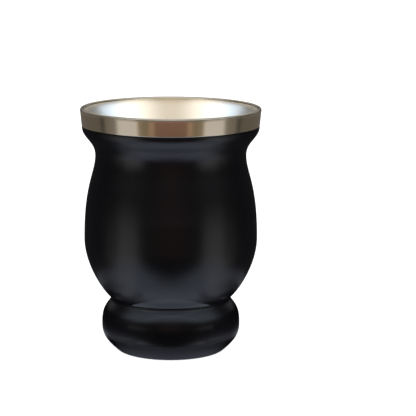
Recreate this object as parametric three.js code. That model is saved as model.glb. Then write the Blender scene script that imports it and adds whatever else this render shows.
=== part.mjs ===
// A double-walled stainless steel mate cup with the outline of a calabash gourd, empty.
// coated_body is the satin black gourd on its bulging foot. rim_band is the bare steel band round the
// outside of the rim. inner_cup is the steel cup that holds the drink, with its rounded lip.
// Units are millimetres, +Z is up, and the origin is the centre of the base, on the surface it stands on.
import * as THREE from "three";

// Overall size
const HEIGHT = 106;
const RIM_RADIUS = 39;

// Stations of the outer outline. Lean is how far the outline tips outwards, in radians, as it goes up.
const HEEL = { radius: 23.4, height: 0, lean: 0.87 };
const FOOT = { radius: 30.1, height: 11.4, lean: 0 };
const WAIST = { radius: 25.55, height: 22.65, leanBelow: -0.69, leanAbove: 0.84 };
const BELLY = { radius: 37.57, height: 49, lean: 0 };
const NECK = { radius: 32.63, height: 85.6, lean: 0 };
const BAND_FOOT = { radius: 38.3, height: 98.1, lean: 0 };

// How far the outline keeps to its lean on leaving a station (out) and on reaching the next one (in)
const HEEL_TO_FOOT = { out: 7.4, in: 4.1 };
const FOOT_TO_WAIST = { out: 5.3, in: 4.5 };
const WAIST_TO_BELLY = { out: 5.7, in: 10.4 };
const BELLY_TO_NECK = { out: 24.3, in: 8.1 };
const NECK_TO_BAND = { out: 6, in: 4.6 };

// Small roundings of the outside
const WAIST_FILLET = 1.2;
const HEEL_ROUNDING = 0.8;

// The steel sheet, the lip rolled from it, and the gap left between neighbouring pieces
const SHEET = 0.8;
const LIP_THICKNESS = 1.8;
const LIP_SKIRT = 0.5;
const CLEARANCE = 0.3;

// The drinking bowl: a flared mouth, a slightly tapered wall and a round-cornered floor
const MOUTH_LEAN = 0.38;
const MOUTH_LENGTH = 14;
const THROAT = { radius: 29.8, height: 77 };
const FLOOR_HEIGHT = 24;
const FLOOR_WALL_RADIUS = 29.4;
const FLOOR_CORNER = 10;

// The underside: a flat ring to stand on, round a shallow plain hollow
const RING_INNER_RADIUS = 20;
const RING_ROUNDING = 0.8;
const HOLLOW_DEPTH = 1.4;

const SEGMENTS = 56;

const lipRadius = LIP_THICKNESS / 2;
const lipCentreHeight = HEIGHT - lipRadius;

// Continues a path from one station to the next with one smooth curve.
function sweep(path, from, fromLean, to, toLean, reach) {
  path.bezierCurveTo(
    from.radius + reach.out * Math.sin(fromLean),
    from.height + reach.out * Math.cos(fromLean),
    to.radius - reach.in * Math.sin(toLean),
    to.height - reach.in * Math.cos(toLean),
    to.radius,
    to.height,
  );
}

// A point near a station, moved along a lean.
function along(station, lean, distance) {
  return {
    radius: station.radius + distance * Math.sin(lean),
    height: station.height + distance * Math.cos(lean),
  };
}

// Runs of points end to end, with each repeated point left out.
function join(...runs) {
  const joined = [];
  for (const point of runs.flat()) {
    const last = joined.at(-1);
    if (!last || last.distanceTo(point) > 1e-4) joined.push(point);
  }
  return joined;
}

// The outside of the coated body, from the ring that it stands on up to the bare band.
function outerOutline() {
  const heelTop = along(HEEL, HEEL.lean, HEEL_ROUNDING);
  const waistBelow = along(WAIST, WAIST.leanBelow, -WAIST_FILLET);
  const waistAbove = along(WAIST, WAIST.leanAbove, WAIST_FILLET);

  const heel = new THREE.Path();
  heel.moveTo(HEEL.radius - HEEL_ROUNDING, HEEL.height);
  heel.quadraticCurveTo(HEEL.radius, HEEL.height, heelTop.radius, heelTop.height);

  const foot = new THREE.Path();
  foot.moveTo(heelTop.radius, heelTop.height);
  sweep(foot, heelTop, HEEL.lean, FOOT, FOOT.lean, HEEL_TO_FOOT);
  sweep(foot, FOOT, FOOT.lean, waistBelow, WAIST.leanBelow, FOOT_TO_WAIST);

  const waist = new THREE.Path();
  waist.moveTo(waistBelow.radius, waistBelow.height);
  waist.quadraticCurveTo(WAIST.radius, WAIST.height, waistAbove.radius, waistAbove.height);

  const gourd = new THREE.Path();
  gourd.moveTo(waistAbove.radius, waistAbove.height);
  sweep(gourd, waistAbove, WAIST.leanAbove, BELLY, BELLY.lean, WAIST_TO_BELLY);
  sweep(gourd, BELLY, BELLY.lean, NECK, NECK.lean, BELLY_TO_NECK);
  sweep(gourd, NECK, NECK.lean, BAND_FOOT, BAND_FOOT.lean, NECK_TO_BAND);

  return join(heel.getPoints(2), foot.getPoints(6), waist.getPoints(3), gourd.getPoints(8));
}

// The hollow underside of the coated body, from its middle out to the ring.
function undersideOutline() {
  const underside = new THREE.Path();
  underside.moveTo(0, HOLLOW_DEPTH);
  underside.lineTo(RING_INNER_RADIUS - RING_ROUNDING, HOLLOW_DEPTH);
  underside.quadraticCurveTo(RING_INNER_RADIUS, HOLLOW_DEPTH, RING_INNER_RADIUS + RING_ROUNDING, 0);
  return underside.getPoints(3);
}

// The drinking side of the inner cup, from the lip down to the middle of the floor.
function bowlOutline() {
  const lipInside = {
    radius: RIM_RADIUS - lipRadius * (1 + Math.cos(MOUTH_LEAN)),
    height: lipCentreHeight + lipRadius * Math.sin(MOUTH_LEAN),
  };
  const mouthFoot = along(lipInside, MOUTH_LEAN, -MOUTH_LENGTH);
  const bend = along(lipInside, MOUTH_LEAN, -(lipInside.radius - THROAT.radius) / Math.sin(MOUTH_LEAN));
  const wall = new THREE.Path();
  wall.moveTo(lipInside.radius, lipInside.height);
  wall.lineTo(mouthFoot.radius, mouthFoot.height);
  wall.quadraticCurveTo(bend.radius, bend.height, THROAT.radius, THROAT.height);
  wall.lineTo(FLOOR_WALL_RADIUS, FLOOR_HEIGHT + FLOOR_CORNER);

  const corner = new THREE.Path();
  const cornerCentre = FLOOR_WALL_RADIUS - FLOOR_CORNER;
  corner.absarc(cornerCentre, FLOOR_HEIGHT + FLOOR_CORNER, FLOOR_CORNER, 0, -Math.PI / 2, true);
  corner.lineTo(0, FLOOR_HEIGHT);

  return join(wall.getPoints(6), corner.getPoints(5));
}

// The bowl's outline moved outwards by a distance, square to the outline at every point.
function aroundBowl(distance) {
  const bowl = bowlOutline();
  return bowl.map((point, i) => {
    if (point.x === 0) return new THREE.Vector2(0, point.y - distance);
    const before = bowl[Math.max(i - 1, 0)];
    const travel = bowl[i + 1].clone().sub(before).normalize();
    return new THREE.Vector2(point.x - travel.y * distance, point.y + travel.x * distance);
  });
}

// A falling run of points cut in two at a height, with the cut point ending one part and starting the other.
function cutAt(points, height) {
  const next = points.findIndex((point) => point.y < height);
  const upper = points[next - 1];
  const lower = points[next];
  const cut = lower.clone().lerp(upper, (height - lower.y) / (upper.y - lower.y));
  return { above: [...points.slice(0, next), cut], below: [cut, ...points.slice(next)] };
}

// A profile of radius and height, turned about the vertical axis.
function turned(name, profile, material) {
  const geometry = new THREE.LatheGeometry(profile, SEGMENTS);
  geometry.rotateX(Math.PI / 2);
  const mesh = new THREE.Mesh(geometry, material);
  mesh.name = name;
  return mesh;
}

const blackCoat = new THREE.MeshStandardMaterial({ color: 0x141417, roughness: 0.42, metalness: 0 });
const brushedSteel = new THREE.MeshStandardMaterial({ color: 0xb8b2a6, roughness: 0.3, metalness: 1 });
const satinSteel = new THREE.MeshStandardMaterial({ color: 0xcbc6ba, roughness: 0.25, metalness: 1 });

// The coated body is solid in as far as the inner cup.
function coatedBody() {
  const cavity = cutAt(aroundBowl(SHEET + CLEARANCE), BAND_FOOT.height).below;
  const profile = join(undersideOutline(), outerOutline(), cavity);
  return turned("coated_body", profile, blackCoat);
}

// The band is a cone between the coated body and the lip, solid in as far as the inner cup.
function rimBand() {
  const bottom = BAND_FOOT.height + CLEARANCE;
  const top = lipCentreHeight - LIP_SKIRT - CLEARANCE;
  const flare = (RIM_RADIUS - BAND_FOOT.radius) / (lipCentreHeight - BAND_FOOT.height);
  const face = (height) => BAND_FOOT.radius + flare * (height - BAND_FOOT.height);
  const outside = [new THREE.Vector2(face(bottom), bottom), new THREE.Vector2(face(top), top)];
  const aroundCup = aroundBowl(SHEET + CLEARANCE);
  const inside = cutAt(cutAt(aroundCup, top).below, bottom).above;
  return turned("rim_band", [...outside, ...inside, outside[0].clone()], brushedSteel);
}

// The inner cup is one sheet from the middle of its floor to the lip, which turns over the band.
function innerCup() {
  const skirtHeight = lipCentreHeight - LIP_SKIRT;
  const outside = cutAt(aroundBowl(SHEET), skirtHeight).below.reverse();
  const lip = new THREE.Path();
  const lipCentre = RIM_RADIUS - lipRadius;
  lip.moveTo(RIM_RADIUS, skirtHeight);
  lip.absarc(lipCentre, lipCentreHeight, lipRadius, 0, Math.PI / 2, false);
  lip.absarc(lipCentre, lipCentreHeight, lipRadius, Math.PI / 2, Math.PI - MOUTH_LEAN, false);
  return turned("inner_cup", join(outside, lip.getPoints(3), bowlOutline()), satinSteel);
}

const cup = new THREE.Group();
cup.add(coatedBody(), rimBand(), innerCup());

export default cup;
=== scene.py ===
# %% [markdown]
# A gourd-shaped steel mate cup
#
# The cup is a double-walled vessel for drinking mate. Its outside copies a dried gourd: a rounded foot,
# a tight waist, a full belly, a neck and a flared rim. The outside is steel under a satin black powder
# coat, all but a bare band at the rim, and the drinking bowl inside is bare steel too.
# The solids that work are already made. This file gives them their looks: finely turned surfaces, four
# finishes, and a small studio that the shiny steel can mirror.

# %% Load the frame
import math

import bmesh
import bpy
from mathutils import Euler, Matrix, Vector


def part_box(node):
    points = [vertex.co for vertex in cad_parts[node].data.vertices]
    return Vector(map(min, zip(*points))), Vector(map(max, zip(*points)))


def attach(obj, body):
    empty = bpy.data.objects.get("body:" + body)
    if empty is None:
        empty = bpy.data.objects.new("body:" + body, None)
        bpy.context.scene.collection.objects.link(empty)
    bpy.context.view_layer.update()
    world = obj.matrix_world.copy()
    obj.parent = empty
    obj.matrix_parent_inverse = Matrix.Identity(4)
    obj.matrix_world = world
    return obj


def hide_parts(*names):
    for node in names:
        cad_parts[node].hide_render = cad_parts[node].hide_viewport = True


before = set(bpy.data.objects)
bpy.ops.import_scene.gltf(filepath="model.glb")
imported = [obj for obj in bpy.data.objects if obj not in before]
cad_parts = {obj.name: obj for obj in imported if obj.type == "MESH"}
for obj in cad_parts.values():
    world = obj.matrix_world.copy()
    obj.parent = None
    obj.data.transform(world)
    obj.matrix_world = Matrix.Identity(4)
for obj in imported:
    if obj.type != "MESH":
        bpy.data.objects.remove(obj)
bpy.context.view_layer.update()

print("nodes:", sorted(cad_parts))

# %% [markdown]
# The cup's own measures
#
# A turned thing needs few numbers. Heights and radii that the solids fix are read from their boxes, so
# that the fine surfaces can't drift away from them. What no box tells, such as the belly and the neck,
# is named here, in millimetres. A station is one height on the outline: its radius, its height, and its
# lean, which says how far the wall tips outwards there, in radians, as it goes up.

# %% Measures
MM = 0.001


def box_mm(node):
    low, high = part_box(node)
    return [v / MM for v in low], [v / MM for v in high]


HEIGHT = box_mm("inner_cup")[1][2]
RIM_RADIUS = box_mm("inner_cup")[1][0]
BAND_FOOT_HEIGHT = box_mm("coated_body")[1][2]
BOWL_UNDERSIDE = box_mm("inner_cup")[0][2]

HEEL = {"radius": 23.4, "height": 0.0, "lean": 0.87}
FOOT = {"radius": 30.1, "height": 11.4, "lean": 0.0}
WAIST = {"radius": 25.55, "height": 22.65, "lean_below": -0.69, "lean_above": 0.84}
BELLY = {"radius": 37.57, "height": 49.0, "lean": 0.0}
NECK = {"radius": 32.63, "height": 85.6, "lean": 0.0}
BAND_FOOT = {"radius": 38.3, "height": BAND_FOOT_HEIGHT, "lean": 0.0}

print(f"height {HEIGHT:.1f}, rim radius {RIM_RADIUS:.1f}, band from {BAND_FOOT_HEIGHT:.1f} up")

# %% [markdown]
# The camera
#
# The cup was photographed from a little above its rim with a long lens, so its sides stay nearly
# upright and the mouth is a thin ellipse. A camera can be placed by hand until the picture looks right,
# or worked out: the mouth's two ellipse axes give the height of the eye, and how much flatter the mouth
# looks than the foot gives the distance. Those two numbers are used here, with a slight turn that puts
# the cup left of the middle, and a slight roll that keeps it upright after the turn.

# %% Camera
EYE_DISTANCE = 772.0
EYE_HEIGHT = 205.4
LOOK_DOWN = 0.1837
TURN_RIGHT = 0.0209
IMAGE_WIDTH = 416
FOCAL_PIXELS = 1808
SENSOR_WIDTH = 36.0

lens = bpy.data.cameras.new("camera")
lens.sensor_width = SENSOR_WIDTH
lens.lens = FOCAL_PIXELS / IMAGE_WIDTH * SENSOR_WIDTH
camera = bpy.data.objects.new("camera", lens)
camera.location = Vector((0, -EYE_DISTANCE, EYE_HEIGHT)) * MM
roll = TURN_RIGHT * math.sin(LOOK_DOWN)
aim = Euler((math.pi / 2 - LOOK_DOWN, 0, -TURN_RIGHT)).to_matrix() @ Euler((0, 0, roll)).to_matrix()
camera.rotation_euler = aim.to_euler()
bpy.context.scene.collection.objects.link(camera)
bpy.context.scene.camera = camera
print(f"lens {lens.lens:.0f} mm")

# %% [markdown]
# Drawing an outline
#
# Blender could hold the outline as a Bezier curve object and turn it with a Screw modifier. Here the
# outline is a plain list of (radius, height) pairs worked out by three short functions, one for a
# curve between stations, one for an arc and one for a rounded corner. The same list then says how long
# the surface is and where its edges are, and the finished mesh needs no modifier.

# %% Outline helpers
def cubic(start, start_handle, end_handle, end, count):
    """Points of a cubic Bezier curve, both ends included."""
    points = []
    for step in range(count + 1):
        t = step / count
        weights = ((1 - t) ** 3, 3 * t * (1 - t) ** 2, 3 * t * t * (1 - t), t ** 3)
        corners = (start, start_handle, end_handle, end)
        points.append(tuple(sum(w * c[axis] for w, c in zip(weights, corners)) for axis in (0, 1)))
    return points


def move(point, lean, distance):
    """A point moved along a lean."""
    return point[0] + distance * math.sin(lean), point[1] + distance * math.cos(lean)


def sweep(start, start_lean, end, end_lean, leave, arrive, count=24):
    """A smooth stretch of wall from one point to the next, leaving and arriving at given leans."""
    return cubic(start, move(start, start_lean, leave), move(end, end_lean, -arrive), end, count)


def bend(start, corner, end, count=6):
    """A rounded corner: a curve from start to end that is pulled towards the corner."""
    towards = 2 / 3
    pull = [tuple(p + towards * (c - p) for p, c in zip(point, corner)) for point in (start, end)]
    return cubic(start, pull[0], pull[1], end, count)


def arc(centre, radius, start, end, count=8):
    """Points of a circular arc, by angles in radians from straight outwards, growing upwards."""
    angles = [start + (end - start) * step / count for step in range(count + 1)]
    return [(centre[0] + radius * math.cos(a), centre[1] + radius * math.sin(a)) for a in angles]


def at(station):
    return station["radius"], station["height"]


print("a quarter arc of 2 mm ends at", arc((0, 0), 2, 0, math.pi / 2)[-1])

# %% [markdown]
# Turning an outline into a mesh
#
# A lathe mesh is rings of vertices joined by faces. bmesh has a spin operator, but it leaves a seam of
# doubled vertices and says nothing about which way the faces point. Building the rings directly gives
# one closed, watertight surface with its faces pointing out. A point on the axis becomes one pole
# vertex. Crisp edges stay crisp because faces are shaded smooth only up to a small angle.

# %% Lathe
TURNS = 256
CRISP_ANGLE = math.radians(28)
TOUCHING = 1e-4
ON_AXIS = 1e-6


def without_repeats(points):
    kept = []
    for point in points:
        if not kept or math.dist(point, kept[-1]) > TOUCHING:
            kept.append(point)
    return kept


def ring_of(bm, point):
    """The vertices that one outline point sweeps out, or the single one on the axis."""
    radius, height = point
    if radius < ON_AXIS:
        return [bm.verts.new((0, 0, height * MM))]
    angles = [2 * math.pi * turn / TURNS for turn in range(TURNS)]
    circle = [(radius * math.cos(a), radius * math.sin(a), height) for a in angles]
    return [bm.verts.new([v * MM for v in corner]) for corner in circle]


def join_rings(bm, lower, upper):
    for turn in range(TURNS):
        after = (turn + 1) % TURNS
        if len(lower) == 1:
            bm.faces.new((lower[0], upper[after], upper[turn]))
        elif len(upper) == 1:
            bm.faces.new((lower[turn], lower[after], upper[0]))
        else:
            bm.faces.new((lower[turn], lower[after], upper[after], upper[turn]))


def turned(name, outline):
    """A closed mesh object from an outline that runs upwards on the outside of the piece."""
    points = without_repeats(outline)
    closes = points[0][0] > ON_AXIS
    if closes and math.dist(points[0], points[-1]) < TOUCHING:
        points.pop()
    bm = bmesh.new()
    rings = [ring_of(bm, point) for point in points]
    for lower, upper in zip(rings, rings[1:]):
        join_rings(bm, lower, upper)
    if closes:
        join_rings(bm, rings[-1], rings[0])
    mesh = bpy.data.meshes.new(name)
    bm.to_mesh(mesh)
    volume = bm.calc_volume(signed=True)
    bm.free()
    mesh.shade_smooth()
    mesh.set_sharp_from_angle(angle=CRISP_ANGLE)
    piece = bpy.data.objects.new(name, mesh)
    bpy.context.scene.collection.objects.link(piece)
    print(f"{name}: {len(points)} rings, {len(mesh.polygons)} faces, {volume / MM ** 3 / 1000:.1f} cm3")
    return piece


# %% [markdown]
# The drinking bowl
#
# The bowl is drawn first because the other pieces are shaped around it. It is one steel sheet, 0.8 mm
# thick. It flares to the mouth as a cone, runs nearly straight down below that, and turns into the floor
# through a round corner that a spoon or a brush can reach. Only the top of the wall shows from the side,
# but the whole bowl is finished, since the cup is also looked into from above.

# %% Bowl outline
SHEET = 0.8
CLEARANCE = 0.3
LIP_RADIUS = 0.9
LIP_SKIRT = 0.5
MOUTH_LEAN = 0.38
MOUTH_LENGTH = 14.0
THROAT = (29.8, 77.0)
FLOOR_HEIGHT = BOWL_UNDERSIDE + SHEET
FLOOR_CORNER = 10.0
FLOOR_WALL_RADIUS = 29.4

lip_centre = (RIM_RADIUS - LIP_RADIUS, HEIGHT - LIP_RADIUS)
skirt_height = lip_centre[1] - LIP_SKIRT
floor_centre = (FLOOR_WALL_RADIUS - FLOOR_CORNER, FLOOR_HEIGHT + FLOOR_CORNER)


def bowl_side(out):
    """The bowl from the lip down to the axis, moved outwards from the drinking side by a distance."""
    start = move(lip_centre, MOUTH_LEAN + math.pi / 2, -LIP_RADIUS + out)
    flare_foot = move(start, MOUTH_LEAN, -MOUTH_LENGTH)
    throat = (THROAT[0] + out, THROAT[1])
    turn_in = (throat[0], start[1] - (start[0] - throat[0]) / math.tan(MOUTH_LEAN))
    corner = arc(floor_centre, FLOOR_CORNER + out, 0, -math.pi / 2, 16)
    return [start, *bend(flare_foot, turn_in, throat, 16), *corner, (0.0, FLOOR_HEIGHT - out)]


def cut_below(falling, height):
    """The part of a falling outline below a height, starting exactly at it."""
    after = next(i for i, point in enumerate(falling) if point[1] < height)
    upper, lower = falling[after - 1], falling[after]
    share = (height - lower[1]) / (upper[1] - lower[1])
    radius = lower[0] + share * (upper[0] - lower[0])
    return [(radius, height), *falling[after:]]


drinking_side = bowl_side(0)
volume = sum(
    math.pi * (a[1] - b[1]) * (a[0] ** 2 + a[0] * b[0] + b[0] ** 2) / 3
    for a, b in zip(drinking_side, drinking_side[1:])
)
print(f"the bowl holds {volume / 1000:.0f} ml to the brim")

# %% [markdown]
# The bead at the mouth
#
# The top of the sheet is rolled into a bead, so that the mouth isn't sharp. Inside, the wall leaves the
# bead almost upright and only then leans out to the flare, and that short bend is what draws a soft
# dark line round the back of the mouth. The bead is a piece of its own here, because it is polished
# and lit apart from the bowl. The two meet where the wall is upright.

# %% Bead and bowl
BEAD_END_LEAN = 0.04
BEAD_END_REACH = 2.0
BEND_FOOT = 11.0
BEND_FOOT_LEAN = MOUTH_LEAN + 0.05
BEND_FOOT_REACH = 6.5

inside_top = (lip_centre[0] - LIP_RADIUS, lip_centre[1])
cone_top = drinking_side[0]
bend_foot = move(cone_top, MOUTH_LEAN, -BEND_FOOT)
leave_bead = move(inside_top, BEAD_END_LEAN, -BEAD_END_REACH)
reach_cone = move(bend_foot, BEND_FOOT_LEAN, BEND_FOOT_REACH)
inside_bend = cubic(inside_top, leave_bead, reach_cone, bend_foot, 24)
bowl_inside = [*inside_bend, *cut_below(drinking_side, bend_foot[1])]
under_lip = cut_below(bowl_side(SHEET), skirt_height)

bead_round = arc(lip_centre, LIP_RADIUS, 0, math.pi, 24)
under_bead = under_lip[0]
steel_lip = turned("steel_lip", [under_bead, (RIM_RADIUS, skirt_height), *bead_round, under_bead])
steel_bowl = turned("steel_bowl", [*reversed(under_lip), *bowl_inside])

# %% [markdown]
# The band
#
# The band is the bare top of the outer wall, a cone that widens a little upwards. Two small things make
# it read as sheet metal and not as a painted stripe: its lower edge is rounded, so that it catches a
# thin line of light from below, and a hair-fine seam parts it from the lip above and the coat below.

# %% Band
SEAM = 0.05
COAT_SEAM = 0.15
BAND_EDGE = 0.5

band_bottom = BAND_FOOT_HEIGHT + COAT_SEAM
band_top = skirt_height - SEAM
band_flare = (RIM_RADIUS - BAND_FOOT["radius"]) / (lip_centre[1] - BAND_FOOT_HEIGHT)


def band_face(height):
    """The band's radius at a height."""
    return BAND_FOOT["radius"] + band_flare * (height - BAND_FOOT_HEIGHT)


around_bowl = bowl_side(SHEET + CLEARANCE)
band_back_top = cut_below(around_bowl, band_top)[0]
band_back_bottom = cut_below(around_bowl, band_bottom)[0]
lower_edge = bend(
    (band_face(band_bottom) - BAND_EDGE, band_bottom),
    (band_face(band_bottom), band_bottom),
    (band_face(band_bottom + BAND_EDGE), band_bottom + BAND_EDGE),
    8,
)
steel_band = turned(
    "steel_band",
    [band_back_bottom, *lower_edge, (band_face(band_top), band_top), band_back_top, band_back_bottom],
)

# %% [markdown]
# The coated body
#
# The outside runs from the ring that the cup stands on, over the bulging foot, through the crease of
# the waist, over the belly and up the neck to the band. Powder coat is about a tenth of a millimetre
# thick and pulls back from sharp edges, so the crease, the heel and the top edge are all softened. Each
# stretch of wall has two reaches: how far it keeps to its lean on leaving a station, and on arriving.
# The underside, which never shows, is a plain shallow hollow inside the ring.

# %% Coated body
WAIST_FILLET = 1.2
HEEL_ROUNDING = 0.3
RING_INNER_RADIUS = 20.0
RING_ROUNDING = 0.8
HOLLOW_DEPTH = 1.4
COAT_EDGE = 0.25
HEEL_TO_FOOT = (7.4, 4.1)
FOOT_TO_WAIST = (5.3, 4.5)
WAIST_TO_BELLY = (5.7, 10.4)
BELLY_TO_NECK = (24.3, 8.1)
NECK_TO_BAND = (6.0, 4.4)

heel_top = move(at(HEEL), HEEL["lean"], HEEL_ROUNDING)
waist_below = move(at(WAIST), WAIST["lean_below"], -WAIST_FILLET)
waist_above = move(at(WAIST), WAIST["lean_above"], WAIST_FILLET)
coat_top = (BAND_FOOT["radius"], BAND_FOOT_HEIGHT - COAT_EDGE)

underside = [
    (0.0, HOLLOW_DEPTH),
    *bend(
        (RING_INNER_RADIUS - RING_ROUNDING, HOLLOW_DEPTH),
        (RING_INNER_RADIUS, HOLLOW_DEPTH),
        (RING_INNER_RADIUS + RING_ROUNDING, 0.0),
    ),
]
outside = [
    *bend((HEEL["radius"] - HEEL_ROUNDING, 0.0), at(HEEL), heel_top, 5),
    *sweep(heel_top, HEEL["lean"], at(FOOT), FOOT["lean"], *HEEL_TO_FOOT),
    *sweep(at(FOOT), FOOT["lean"], waist_below, WAIST["lean_below"], *FOOT_TO_WAIST),
    *bend(waist_below, at(WAIST), waist_above, 8),
    *sweep(waist_above, WAIST["lean_above"], at(BELLY), BELLY["lean"], *WAIST_TO_BELLY, 32),
    *sweep(at(BELLY), BELLY["lean"], at(NECK), NECK["lean"], *BELLY_TO_NECK, 32),
    *sweep(at(NECK), NECK["lean"], coat_top, BAND_FOOT["lean"], *NECK_TO_BAND, 28),
    *bend(coat_top, at(BAND_FOOT), (BAND_FOOT["radius"] - COAT_EDGE, BAND_FOOT_HEIGHT), 4),
]
cavity = cut_below(around_bowl, BAND_FOOT_HEIGHT)
black_body = turned("black_body", [*underside, *outside, *cavity])

# %% [markdown]
# Writing shaders as arithmetic
#
# Node trees are quick to build by hand but hard to read in code. Wrapping a socket in a small class
# lets a mask be written as an expression: each operator adds one Math node behind the scenes. Colours
# and vectors must not pass through Math nodes, which would turn them grey, so they have their own
# mixing function.

# %% Shader wires
class Wire:
    """An output socket of a node tree. Arithmetic on it adds Math nodes to the tree."""

    def __init__(self, tree, socket=None):
        self.tree = tree
        self.socket = socket

    def node(self, kind, settings, inputs, output=0):
        """Adds a node: its settings first, then the values or wires of its sockets."""
        node = self.tree.nodes.new(kind)
        for name, value in settings.items():
            setattr(node, name, value)
        for name, value in inputs.items():
            if isinstance(value, Wire):
                self.tree.links.new(value.socket, node.inputs[name])
            else:
                node.inputs[name].default_value = value
        return Wire(self.tree, node.outputs[output]) if node.outputs else None

    def parts(self):
        """The X, Y and Z of a vector, each as a wire of its own."""
        node = self.node("ShaderNodeSeparateXYZ", {}, {"Vector": self}).socket.node
        return [Wire(self.tree, node.outputs[axis]) for axis in "XYZ"]

    def math(self, operation, *values):
        return self.node("ShaderNodeMath", {"operation": operation}, dict(enumerate(values)))

    def step(self, low, high):
        """0 below low, 1 above high, and a smooth rise between them. It falls if low is above high."""
        lows, highs, ends = (low, high, (0.0, 1.0)) if low < high else (high, low, (1.0, 0.0))
        settings = {"interpolation_type": "SMOOTHSTEP"}
        inputs = {"Value": self, "From Min": lows, "From Max": highs, "To Min": ends[0], "To Max": ends[1]}
        return self.node("ShaderNodeMapRange", settings, inputs)

    def __add__(self, other):
        return self.math("ADD", self, other)

    def __radd__(self, other):
        return self.math("ADD", other, self)

    def __sub__(self, other):
        return self.math("SUBTRACT", self, other)

    def __rsub__(self, other):
        return self.math("SUBTRACT", other, self)

    def __mul__(self, other):
        return self.math("MULTIPLY", self, other)

    def __rmul__(self, other):
        return self.math("MULTIPLY", other, self)

    def __truediv__(self, other):
        return self.math("DIVIDE", self, other)


def mix(factor, first, second):
    """The first colour where the factor is 0 and the second where it is 1."""
    wire = next(v for v in (factor, first, second) if isinstance(v, Wire))
    colours = [c if isinstance(c, Wire) else (*c, 1.0) for c in (first, second)]
    return wire.node("ShaderNodeMix", {"data_type": "RGBA"}, {0: factor, 6: colours[0], 7: colours[1]}, 2)


def new_material(name):
    """An empty material and a wire to start its nodes from."""
    material = bpy.data.materials.new(name)
    material.use_nodes = True
    material.node_tree.nodes.clear()
    return material, Wire(material.node_tree)


def finish_material(wire, sockets):
    """A Principled shader with these sockets, on the material's output."""
    surface = wire.node("ShaderNodeBsdfPrincipled", {}, sockets)
    wire.node("ShaderNodeOutputMaterial", {}, {"Surface": surface})


# %% [markdown]
# Satin black powder coat
#
# Powder is sprayed on dry and baked, so it flows out almost flat but keeps a faint orange peel, under a
# millimetre across, and a still finer grain. That is what spreads a reflection into a soft patch. The
# colour is close to pure black: all that shows on it is the four hundredths of the light that any clear
# resin mirrors. So the work here is in roughness and bump, not in colour.

# %% Powder coat
COAT_COLOUR = (0.0014, 0.0013, 0.0019)
COAT_ROUGHNESS = 0.29
PEEL_PER_METRE = 900
GRAIN_PER_METRE = 5200
CLOUDS_PER_METRE = 60
PEEL_SHARE = 0.8
PEEL_STRENGTH = 0.12
PEEL_DEPTH = 0.0001
CLOUD_LIGHTENS = 1.25
CLOUD_ROUGHENS = 0.04
RESIN_IOR = 1.5


def noise(wire, position, scale, detail=2.0):
    settings = {"noise_dimensions": "3D"}
    return wire.node("ShaderNodeTexNoise", settings, {"Vector": position, "Scale": scale, "Detail": detail})


def object_position(wire):
    return wire.node("ShaderNodeTexCoord", {}, {}, "Object")


def powder_coat():
    material, wire = new_material("satin_black_coat")
    position = object_position(wire)
    peel = noise(wire, position, PEEL_PER_METRE)
    grain = noise(wire, position, GRAIN_PER_METRE, 1.0)
    cloud = noise(wire, position, CLOUDS_PER_METRE)
    relief = peel * PEEL_SHARE + grain * (1 - PEEL_SHARE)
    depth = {"Strength": PEEL_STRENGTH, "Distance": PEEL_DEPTH}
    bump = wire.node("ShaderNodeBump", {}, {**depth, "Height": relief})
    finish_material(wire, {
        "Base Color": mix(cloud, COAT_COLOUR, [CLOUD_LIGHTENS * c for c in COAT_COLOUR]),
        "Roughness": COAT_ROUGHNESS - CLOUD_ROUGHENS / 2 + cloud * CLOUD_ROUGHENS,
        "IOR": RESIN_IOR,
        "Normal": bump,
    })
    return material


black_coat = powder_coat()
print("powder coat:", len(black_coat.node_tree.nodes), "nodes")

# %% [markdown]
# Brushed and spun steel
#
# The bare surfaces are finished while the cup turns, so their scratches run round it. Scratches spread
# light across themselves: a lamp becomes an upright streak, while the edges of its reflection to left
# and right stay sharp. The Principled shader does this with Anisotropic, whose tangent on a turned
# piece already runs round the axis; a quarter turn of it makes the streak stand up. The scratches
# themselves are noise that is stretched along the circle: it changes fast with height and radius, and
# hardly at all round the cup.

# %% Steel
BAND_STEEL = (0.61, 0.535, 0.41)
BOWL_STEEL = (0.66, 0.575, 0.445)
SCRATCHES_PER_METRE = 2600
ROUND_THE_CUP = 45
SCRATCH_DEPTH = 0.00003
SCRATCHES_ROUGHEN = 0.3
SCRATCHES_DARKEN = 0.97
SCRATCHES_LIGHTEN = 1.02
QUARTER_TURN = 0.25


def turning_marks(wire, position):
    """Fine rings: noise that varies with height plus radius, and only slowly round the cup."""
    x, y, z = position.parts()
    radius = wire.math("SQRT", x * x + y * y)
    along = {"X": x * ROUND_THE_CUP, "Y": y * ROUND_THE_CUP, "Z": (z + radius) * SCRATCHES_PER_METRE}
    stretched = wire.node("ShaderNodeCombineXYZ", {}, along)
    return noise(wire, stretched, 1.0, 3.0)


def turned_steel(name, colour, roughness, streak, relief, shine):
    """Steel with fine turning marks. The streak is how far they stretch a highlight, from 0 to 1."""
    material, wire = new_material(name)
    marks = turning_marks(wire, object_position(wire))
    rough = roughness * (1 - SCRATCHES_ROUGHEN / 2) + marks * (roughness * SCRATCHES_ROUGHEN)
    darker = [SCRATCHES_DARKEN * c for c in colour]
    lighter = [SCRATCHES_LIGHTEN * c for c in colour]
    depth = {"Strength": relief, "Distance": SCRATCH_DEPTH}
    bump = wire.node("ShaderNodeBump", {}, {**depth, "Height": marks})
    finish_material(wire, {
        "Base Color": mix(marks, darker, lighter),
        "Metallic": shine,
        "Roughness": rough,
        "Anisotropic": streak,
        "Anisotropic Rotation": QUARTER_TURN,
        "Normal": bump,
    })
    return material


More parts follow.
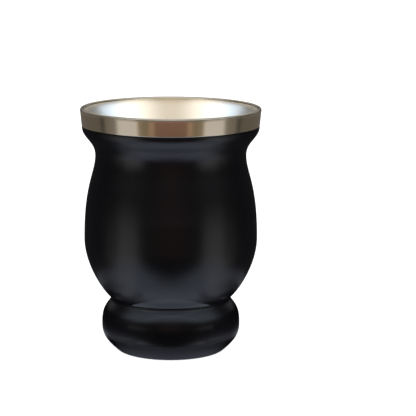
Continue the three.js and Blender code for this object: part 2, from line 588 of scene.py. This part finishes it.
BRUSHED = {"roughness": 0.2, "streak": 0.62, "relief": 0.05, "shine": 0.99}
POLISHED = {"roughness": 0.22, "streak": 0.5, "relief": 0.03, "shine": 0.92}
SPUN = {"roughness": 0.4, "streak": 0.3, "relief": 0.08, "shine": 1.0}
band_steel = turned_steel("brushed_band_steel", BAND_STEEL, **BRUSHED)
lip_steel = turned_steel("polished_lip_steel", BAND_STEEL, **POLISHED)
bowl_steel = turned_steel("spun_bowl_steel", BOWL_STEEL, **SPUN)
print("each steel:", len(band_steel.node_tree.nodes), "nodes")

# %% [markdown]
# Dressing the solids
#
# Each fine piece takes the place of one solid. It rides on the same body, so it goes wherever the solid
# goes, and it wears the finish made for it.

# %% Dress
for piece, node, slot, material in (
    (black_body, "coated_body", "black_coat", black_coat),
    (steel_band, "rim_band", "band_steel", band_steel),
    (steel_lip, "inner_cup", "bowl_steel", lip_steel),
    (steel_bowl, "inner_cup", "bowl_steel", bowl_steel),
):
    piece.data.materials.append(material)
    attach(piece, "root")
    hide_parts(node)
    print(piece.name, "stands for", node)

# %% [markdown]
# The floor
#
# A product picture on white needs a floor that is white all over. A floor that is only lit turns grey at
# the edges of the light. So this one mostly glows, and the white room lights it a little too, which leaves
# hardly a shadow, as in a picture that is cut out on white. It lies a twentieth of a millimetre below the
# cup, so that no two surfaces share a place. The steel and the coat don't mirror this floor. What they
# mirror near the ground is part of the room below.

# %% Floor
FLOOR_SIZE = 8.0
FLOOR_DROP = 0.00005
FLOOR_WHITE = (0.45, 0.45, 0.45)
FLOOR_ROUGHNESS = 0.9
FLOOR_GLOW = 0.9

half = FLOOR_SIZE / 2
floor_corners = [(-half, -half, 0), (half, -half, 0), (half, half, 0), (-half, half, 0)]
floor_mesh = bpy.data.meshes.new("floor")
floor_mesh.from_pydata(floor_corners, [], [(0, 1, 2, 3)])
floor = bpy.data.objects.new("floor", floor_mesh)
bpy.context.scene.collection.objects.link(floor)
floor_paint, wire = new_material("floor_white")
finish_material(wire, {
    "Base Color": (*FLOOR_WHITE, 1.0),
    "Roughness": FLOOR_ROUGHNESS,
    "Emission Color": (1.0, 1.0, 1.0, 1.0),
    "Emission Strength": FLOOR_GLOW,
})
floor_mesh.materials.append(floor_paint)
floor.location.z = -FLOOR_DROP
floor.visible_glossy = False
print(f"floor: {FLOOR_SIZE:.0f} m square, {FLOOR_DROP / MM:.2f} mm below the cup")

# %% [markdown]
# The studio that the cup mirrors
#
# Polished steel has almost no look of its own: it shows the room. So the room is designed. A picture of
# a real studio could be wrapped round the scene, or a set of lamps and cards could be built. A world
# shader does the same with a few named zones, each a soft-edged region of bearing and height: bearing is
# the angle from the direction of the camera, to either side, and height is the angle above the horizon.
# A soft light hangs overhead. A tall panel stands to each side, bluer at its foot, with a dim one beyond
# it. The room behind the camera is dark and warm. The far side is dark too, but for a pale wall that is
# brighter high up. The table is black in front, and bright below the cup's sides and at its foot.

# %% Colours of the zones
OVERHEAD = (0.8, 0.9, 1.07)
SIDE_PANEL = (0.8, 0.79, 0.8)
LOW_PANEL = (0.8, 0.81, 0.93)
DIM_PANEL = (0.24, 0.22, 0.2)
BACKDROP = (0.28, 0.29, 0.3)
HIGH_BACK = (0.76, 0.76, 0.75)
BEHIND_CAMERA = (0.135, 0.065, 0.05)
BESIDE_CAMERA = (0.04, 0.035, 0.02)
UPPER_ROOM = (0.155, 0.1, 0.09)
UPPER_SIDE = (0.05, 0.04, 0.03)
FAR_SIDE = (0.02, 0.018, 0.02)
DARK_TABLE = (0.0, 0.0, 0.0)
PALE_TABLE = (0.62, 0.7, 0.87)
TABLE_AT_FOOT = (0.87, 0.98, 1.16)

contrast = OVERHEAD[1] / BESIDE_CAMERA[1]
print(f"the overhead light is {contrast:.0f} times as bright as the dim room beside the camera")

# %% [markdown]
# Where the zones end
#
# A zone's edge is a pair of angles in degrees: the first is where nothing of the zone is seen yet, and the
# second is where it is seen in full. The wider the pair, the softer the edge. A few edges aren't upright
# or level. They lean, so that their reflections follow the curve of the belly.

# %% Edges of the zones
PANEL_NEAR_EDGE = (42, 46)
PANEL_FAR_EDGE = (76, 72)
PANEL_TOP = (12, -14)
PANEL_LEANS_BELOW = -20
PANEL_LEAN_MOST = 12
LOW_PANEL_TOP = (-18, -34)
DIM_PANEL_EDGE = (100, 88)
DIM_PANEL_TOP = (2, -12)
DIM_PANEL_LEANS_BELOW = -12
DIM_PANEL_LEAN = 0.25
OVERHEAD_EDGE = (36, 50)
OVERHEAD_BACK = (112, 82)
OVERHEAD_DIP = 18
OVERHEAD_DIP_EDGE = (15, 65)
PALE_TABLE_EDGE = (-45, -65)
PALE_TABLE_RISE = 20
PALE_TABLE_RISE_EDGE = (5, 55)
PALE_TABLE_BACK = (114, 74)
PALE_TABLE_LEAN = 2
PALE_TABLE_LEAN_FROM = -50
FOOT_EDGE = (-60, -80)
FOOT_RISE = 8
FOOT_RISE_EDGE = (50, 90)
FOOT_BACK = (145, 100)
DARK_TABLE_TOP = (-16, -22)
DARK_TABLE_SIDE = (50, 22)
BACKDROP_SIDE = (125, 150)
BACKDROP_FOOT = (3, 16)
HIGH_BACK_SIDE = (120, 145)
HIGH_BACK_FOOT = (24, 36)
CAMERA_SIDE = (12, 26)
UPPER_CAMERA_SIDE = (6, 24)
UPPER_FOOT = (-4, 12)
FAR_SIDE_EDGE = (72, 100)

print("the tall panels span", PANEL_NEAR_EDGE[0], "to", PANEL_FAR_EDGE[0], "degrees to each side")

# %% Zones of the room
DEGREES = 180 / math.pi
NOT_ZERO = 1e-8
INSIDE_ONE = 0.99999


def bearing_of(x, y):
    """Degrees away from the camera's direction as seen from above, alike to the left and the right."""
    level = x.math("SQRT", x * x + y * y + NOT_ZERO)
    return x.math("ARCCOSINE", y / level * -INSIDE_ONE) * DEGREES


world = bpy.data.worlds.new("studio")
world.use_nodes = True
world.node_tree.nodes.clear()
bpy.context.scene.world = world
studio = Wire(world.node_tree)

x, y, z = studio.node("ShaderNodeTexCoord", {}, {}, "Generated").parts()
bearing = bearing_of(x, y)
height = studio.math("ARCSINE", z * INSIDE_ONE) * DEGREES

lean = studio.math("MINIMUM", height - PANEL_LEANS_BELOW, 0)
leaning = bearing + studio.math("MAXIMUM", lean, -PANEL_LEAN_MOST)
panel = bearing.step(*PANEL_NEAR_EDGE) * leaning.step(*PANEL_FAR_EDGE) * height.step(*PANEL_TOP)

dim_lean = studio.math("MINIMUM", height - DIM_PANEL_LEANS_BELOW, 0) * DIM_PANEL_LEAN
past_panel = leaning.step(*reversed(PANEL_FAR_EDGE))
dim_panel = past_panel * (bearing + dim_lean).step(*DIM_PANEL_EDGE) * height.step(*DIM_PANEL_TOP)

overhead_height = height + bearing.step(*OVERHEAD_DIP_EDGE) * OVERHEAD_DIP
overhead = overhead_height.step(*OVERHEAD_EDGE) * bearing.step(*OVERHEAD_BACK)

table_height = height - bearing.step(*PALE_TABLE_RISE_EDGE) * PALE_TABLE_RISE
table_bearing = bearing + (height - PALE_TABLE_LEAN_FROM) * PALE_TABLE_LEAN
pale_table = table_height.step(*PALE_TABLE_EDGE) * table_bearing.step(*PALE_TABLE_BACK)

foot_height = height - bearing.step(*FOOT_RISE_EDGE) * FOOT_RISE
table_at_foot = foot_height.step(*FOOT_EDGE) * bearing.step(*FOOT_BACK)
dark_table = height.step(*DARK_TABLE_TOP) * bearing.step(*DARK_TABLE_SIDE)
backdrop = bearing.step(*BACKDROP_SIDE) * height.step(*BACKDROP_FOOT)
high_back = bearing.step(*HIGH_BACK_SIDE) * height.step(*HIGH_BACK_FOOT)

room = mix(bearing.step(*CAMERA_SIDE), BEHIND_CAMERA, BESIDE_CAMERA)
upper_room = mix(bearing.step(*UPPER_CAMERA_SIDE), UPPER_ROOM, UPPER_SIDE)
room = mix(height.step(*UPPER_FOOT), room, upper_room)
room = mix(bearing.step(*FAR_SIDE_EDGE), room, FAR_SIDE)
room = mix(panel, room, mix(height.step(*LOW_PANEL_TOP), SIDE_PANEL, LOW_PANEL))
for zone, colour in (
    (dim_panel, DIM_PANEL),
    (dark_table, DARK_TABLE),
    (pale_table, PALE_TABLE),
    (table_at_foot, TABLE_AT_FOOT),
    (backdrop, BACKDROP),
    (high_back, HIGH_BACK),
    (overhead, OVERHEAD),
):
    room = mix(zone, room, colour)
print("zones of the room:", len(world.node_tree.nodes), "nodes")

# %% [markdown]
# Lamps and cards for one piece alone
#
# The bowl is nearly white to the left and right, and the band mirrors a warm brown front, while the coat
# between them stays dark. No single room does all three. A photographer would flag a lamp, so that it
# reaches one thing and nothing else. Light linking is the same: a lamp that is given a collection of
# receivers lights only those. One function makes every lamp from its place, size and radiance, and a
# second one stands a rectangle at a bearing from the camera and turns it to the middle of the mouth.

# %% Linked lamps
def receivers(name, *pieces):
    collection = bpy.data.collections.new(name)
    for piece in pieces:
        collection.objects.link(piece)
    return collection


def linked_lamp(name, shape, middle, looks_back, size, radiance, lit):
    """A flat lamp that lights only some pieces. The vector looks_back points away from what it faces."""
    lamp = bpy.data.lights.new(name, "AREA")
    lamp.shape = shape
    lamp.size, lamp.size_y = size
    strongest = max(radiance)
    lamp.color = [c / strongest for c in radiance]
    filled = math.pi / 4 if shape == "ELLIPSE" else 1
    lamp.energy = strongest * math.pi * size[0] * size[1] * filled
    piece = bpy.data.objects.new(name, lamp)
    piece.location = middle
    piece.rotation_euler = looks_back.to_track_quat("Z", "Y").to_euler()
    piece.light_linking.receiver_collection = lit
    piece.visible_camera = False
    bpy.context.scene.collection.objects.link(piece)
    print(f"{piece.name}: {size[0] / MM:.0f} by {size[1] / MM:.1f} mm, {1000 * lamp.energy:.1f} milliwatts")


def facing_lamp(name, bearing, distance, height, size, radiance, lit):
    """A rectangle that faces the middle of the mouth."""
    turn = math.radians(bearing)
    middle = Vector((distance * math.sin(turn), -distance * math.cos(turn), height))
    looks_back = middle - Vector((0, 0, HEIGHT * MM))
    linked_lamp(name, "RECTANGLE", middle, looks_back, size, radiance, lit)


# %% [markdown]
# The bowl's lamps
#
# Two lamps stand over the rim to each side: a neutral one towards the camera and a bluer one towards the
# back. Between the neutral ones a weaker, warmer one lights the middle of the bowl.

# %% Bowl lamps
BOWL_LAMP_DISTANCE = 0.55
BOWL_LAMPS = (
    {"bearings": (0,), "height": 0.37, "size": (0.4, 0.7), "radiance": (0.84, 0.8, 0.7)},
    {"bearings": (-50, 50), "height": 0.37, "size": (0.5, 0.51), "radiance": (1.9, 1.9, 1.95)},
    {"bearings": (-96, 96), "height": 0.42, "size": (0.54, 0.46), "radiance": (1.35, 1.85, 2.7)},
)
lights_bowl = receivers("bowl_only", steel_bowl)
for lamp in BOWL_LAMPS:
    place = (BOWL_LAMP_DISTANCE, lamp["height"])
    for stand in lamp["bearings"]:
        facing_lamp("bowl_lamp", stand, *place, lamp["size"], lamp["radiance"], lights_bowl)

# %% [markdown]
# The band's cards
#
# The band leans out a little, so it mirrors what is low and near. Cards a hand high stand in a ring
# round the cup. The middle one is brown, and where its neighbours overlap it a lighter line shows.

# %% Band cards
CARD_RING = 0.2
CARD_FOOT = 0.004
CARD_HEIGHT = 0.09
BAND_CARDS = (
    {"bearings": (0,), "spread": 25, "radiance": (0.22, 0.13, 0.1)},
    {"bearings": (-31, 31), "spread": 11.5, "radiance": (0.24, 0.19, 0.13)},
    {"bearings": (-137, 137), "spread": 42, "radiance": (0.13, 0.115, 0.1)},
)
lights_band = receivers("band_only", steel_band, steel_lip)
for card in BAND_CARDS:
    size = (2 * CARD_RING * math.tan(math.radians(card["spread"])), CARD_HEIGHT)
    place = (CARD_RING, CARD_FOOT + CARD_HEIGHT / 2)
    for stand in card["bearings"]:
        facing_lamp("band_card", stand, *place, size, card["radiance"], lights_band)

# %% [markdown]
# Small lamps close to the cup
#
# Where the coat overhangs, it mirrors its own belly or foot, which are black, and loses its shine just
# where the real one still has some. Two small lamps lie flat and face up, one before the neck and one
# under the belly. A third lies over the foot and faces down, and a sliver of a lamp stands upright in
# the crease. A lamp doesn't block light and shines from one side only, so these don't hide one another.
# The last one stands above the mouth and faces back, so that the far side of the rounded lip is bright
# in the middle.

# %% Small lamps
UNDER_FLARE = {"middle": (0.0, -0.067, 0.06), "size": (0.058, 0.026), "radiance": (0.3, 0.26, 0.37)}
UNDER_BELLY = {"middle": (0.0, 0.0, 0.0234), "size": (0.044, 0.063), "radiance": (0.42, 0.49, 0.59)}
OVER_FOOT = {"middle": (0.0, 0.0, 0.0237), "size": (0.046, 0.0602), "radiance": (0.3, 0.34, 0.42)}
IN_CREASE = {"middle": (0.0, -0.029, 0.0226), "size": (0.03, 0.0016), "radiance": (0.3, 0.28, 0.4)}
OVER_LIP = {"middle": (0.0, -0.02, 0.135), "size": (0.09, 0.057), "radiance": (0.8, 0.76, 0.66)}
UP = (0, 0, 1)
DOWN = (0, 0, -1)
BACKWARDS = (0, 1, 0)

lights_coat = receivers("coat_only", black_body)
lights_lip = receivers("lip_only", steel_lip)
for name, shape, lamp, faces, lit in (
    ("under_flare_lamp", "RECTANGLE", UNDER_FLARE, UP, lights_coat),
    ("under_belly_lamp", "ELLIPSE", UNDER_BELLY, UP, lights_coat),
    ("over_foot_lamp", "ELLIPSE", OVER_FOOT, DOWN, lights_coat),
    ("in_crease_lamp", "RECTANGLE", IN_CREASE, BACKWARDS, lights_coat),
    ("lip_lamp", "RECTANGLE", OVER_LIP, BACKWARDS, lights_lip),
):
    linked_lamp(name, shape, lamp["middle"], -Vector(faces), lamp["size"], lamp["radiance"], lit)

# %% [markdown]
# Cards that only reflections see
#
# What stands round the foot has to hide parts of the room from it, which a lamp can't do. So these cards
# are strips of mesh, bent round the cup's axis. Each glows by its own paint and by a share that changes
# with azimuth, which is 0 towards the camera and 180 at the back, or with height in millimetres. They are
# switched off for every ray but those of mirror reflections, so the camera never sees them and they cast
# no shadow.

# %% Mirror-only strips
SIDES = 72
LEFT_AND_RIGHT = (-1, 1)


def ring_strip(edges, first=0.0, last=360.0):
    """Corners and faces of a strip between two circles of (radius, height), from azimuth to azimuth."""
    turns = [math.radians(first + (last - first) * step / SIDES) for step in range(SIDES + 1)]
    corners = [(r * math.sin(a), -r * math.cos(a), h) for r, h in edges for a in turns]
    faces = [(s, s + 1, SIDES + 2 + s, SIDES + 1 + s) for s in range(SIDES)]
    return corners, faces


def on_both_sides(edges, azimuths):
    return [ring_strip(edges, side * azimuths[0], side * azimuths[1]) for side in LEFT_AND_RIGHT]


def flat(card):
    """The edges of a card that lies flat."""
    return [(radius, card["height"]) for radius in card["radii"]]


def upright(card):
    """The edges of a card that stands."""
    return [(card["radius"], height) for height in card["heights"]]


def mirror_only(name, strips, glow, share):
    """Strips that only mirror reflections see. Their glow is scaled by a share of (azimuth, height)."""
    corners, faces = [], []
    for strip_corners, strip_faces in strips:
        faces += [tuple(len(corners) + corner for corner in face) for face in strip_faces]
        corners += strip_corners
    mesh = bpy.data.meshes.new(name)
    mesh.from_pydata(corners, [], faces)
    card = bpy.data.objects.new(name, mesh)
    bpy.context.scene.collection.objects.link(card)
    paint, ink = new_material(name)
    x, y, z = object_position(ink).parts()
    finish_material(ink, {
        "Base Color": (0.0, 0.0, 0.0, 1.0),
        "Specular IOR Level": 0.0,
        "Roughness": 1.0,
        "Emission Color": mix(share(bearing_of(x, y), z / MM), (0, 0, 0), glow),
        "Emission Strength": 1.0,
    })
    mesh.materials.append(paint)
    for ray in ("camera", "diffuse", "shadow", "transmission", "volume_scatter"):
        setattr(card, f"visible_{ray}", False)
    print(f"{name}: {len(faces)} faces")


# %% [markdown]
# A louvre and two walls round the foot
#
# The foot would mirror the side panels as brightly as the belly does, though it stands so near the table
# that a real one sees little but dark. A photographer puts up a flag of black card. A plain wall would
# also cut off the steep rays by which the belly sees the table, so this one is a louvre: sloping black
# slats in rings. Flat rays from the foot meet them, and steep rays slip between. The lowest slats glow a
# little at the sides. A black wall stands closer in on each side, lower at its front end, and keeps the
# room from the upper part of the foot.

# %% Louvre
LOUVRE_RADIUS = 0.048
SLAT_TOPS = (0.0132, 0.0105, 0.0075, 0.0045, 0.0015)
SLAT_FALL = 0.0036
SLAT_SLOPE = math.radians(60)
SIDE_WALL = {"radius": 0.033, "heights": (0.0115, 0.0205), "azimuths": (60, 175)}
FRONT_WALL = {"radius": 0.033, "heights": (0.0115, 0.016), "azimuths": (42, 60)}
SLAT_GLOW = (0.2, 0.2, 0.25)

slat_reach = SLAT_FALL / math.tan(SLAT_SLOPE)
slats = []
for top in SLAT_TOPS:
    slats.append(ring_strip(((LOUVRE_RADIUS, top), (LOUVRE_RADIUS + slat_reach, top - SLAT_FALL))))
for wall in (SIDE_WALL, FRONT_WALL):
    slats += on_both_sides(upright(wall), wall["azimuths"])


def slat_share(azimuth, height):
    """Only low slats glow, from the sides on, and those towards the back glow less."""
    return azimuth.step(22, 48) * height.step(5.6, 3) * (0.25 + azimuth.step(100, 50) * 0.75)


mirror_only("louvre", slats, SLAT_GLOW, slat_share)

# %% [markdown]
# The heel's shadow and the pale arcs
#
# A grey disc under the heel and a grey sill before it stand for the cup's own shadow on the table. Pale
# arcs flank the foot: one just above its widest part, a dim one on the table beside the heel, and a
# broad bright one outside that. They are what the foot and the underside of the belly mirror.

# %% Shadow and arcs
HEEL_DISC = {"radii": (0.001, 0.033), "height": 0.0002}
SILL = {"radius": 0.0335, "heights": (0.0003, 0.004), "azimuths": (-40, 40)}
HIGH_ARC = {"radii": (0.0335, 0.041), "height": 0.0125, "azimuths": (46, 105)}
NEAR_ARC = {"radii": (0.0345, 0.0448), "height": 0.0003, "azimuths": (40, 150)}
TABLE_ARC = {"radii": (0.045, 0.086), "height": 0.0004, "azimuths": (46, 150)}
DISC_GLOW = (0.28, 0.3, 0.38)
SILL_GLOW = (0.28, 0.28, 0.35)
HIGH_GLOW = (0.6, 0.64, 0.75)
NEAR_GLOW = (0.32, 0.33, 0.4)
TABLE_GLOW = (0.85, 0.92, 1.08)


def arc_pair(card):
    return on_both_sides(flat(card), card["azimuths"])


def near_share(azimuth, height):
    """Full at the front end, half at the side, and stronger again at the back."""
    return 0.5 + azimuth.step(85, 50) * 0.5 + azimuth.step(90, 110) * 0.8


def table_share(azimuth, height):
    """Full at the front end, and a fifth at the back."""
    return 0.2 + azimuth.step(100, 45) * 0.8


disc = [ring_strip(flat(HEEL_DISC))]
sill = [ring_strip(upright(SILL), *SILL["azimuths"])]
mirror_only("heel_disc", disc, DISC_GLOW, lambda azimuth, height: azimuth.step(80, 15))
mirror_only("sill", sill, SILL_GLOW, lambda azimuth, height: 0.4 + azimuth.step(4, 20) * 0.5)
mirror_only("high_arcs", arc_pair(HIGH_ARC), HIGH_GLOW, lambda azimuth, height: azimuth.step(95, 45))
mirror_only("near_arcs", arc_pair(NEAR_ARC), NEAR_GLOW, near_share)
mirror_only("table_arcs", arc_pair(TABLE_ARC), TABLE_GLOW, table_share)

# %% [markdown]
# Who sees the room
#
# Only mirror reflections should show the zones. The camera should see plain white beyond the floor, and
# the floor should be lit evenly. The world asks which kind of ray is looking, and shows its zones to
# glossy rays alone.

# %% World output
mirrored = studio.node("ShaderNodeLightPath", {}, {}, "Is Glossy Ray")
seen = mix(mirrored, (1, 1, 1), room)
background = studio.node("ShaderNodeBackground", {}, {"Color": seen, "Strength": 1.0})
studio.node("ShaderNodeOutputWorld", {}, {"Surface": background})
bpy.context.scene.view_settings.view_transform = "Standard"
print("world:", len(world.node_tree.nodes), "nodes")
